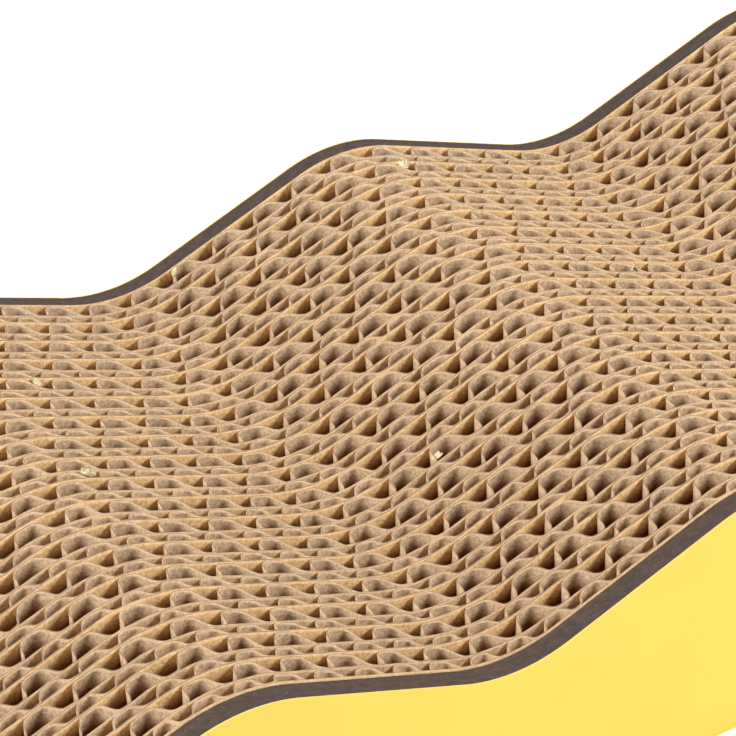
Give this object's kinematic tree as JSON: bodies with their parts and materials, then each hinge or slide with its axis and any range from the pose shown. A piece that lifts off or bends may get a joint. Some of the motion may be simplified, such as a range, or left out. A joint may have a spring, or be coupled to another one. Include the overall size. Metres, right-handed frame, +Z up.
{
  "type": "cat scratcher",
  "caption": "Long cat scratcher of upright corrugated board strips with a wave top, between two greyboard sides faced with yellow paper.",
  "frame": {"origin": "centre of the underside, on the surface that the scratcher stands on", "axes": "+X along the length, across the waves; +Y across the strips, away from the front board; +Z up"},
  "size_m": [0.36, 0.1232, 0.0431],
  "materials": {
    "corrugated_board": "raw kraft, matt",
    "greyboard": "raw recycled board, matt",
    "yellow_paper": "smooth coated paper, satin"
  },
  "bodies": {
    "root": {"strip_01": "corrugated_board", "strip_02": "corrugated_board", "strip_03": "corrugated_board", "strip_04": "corrugated_board", "strip_05": "corrugated_board", "strip_06": "corrugated_board", "strip_07": "corrugated_board", "strip_08": "corrugated_board", "strip_09": "corrugated_board", "strip_10": "corrugated_board", "strip_11": "corrugated_board", "strip_12": "corrugated_board", "strip_13": "corrugated_board", "strip_14": "corrugated_board", "strip_15": "corrugated_board", "strip_16": "corrugated_board", "strip_17": "corrugated_board", "strip_18": "corrugated_board", "side_board_front": "greyboard", "side_board_back": "greyboard", "side_paper_front": "yellow_paper", "side_paper_back": "yellow_paper"}
  },
  "joints": []
}
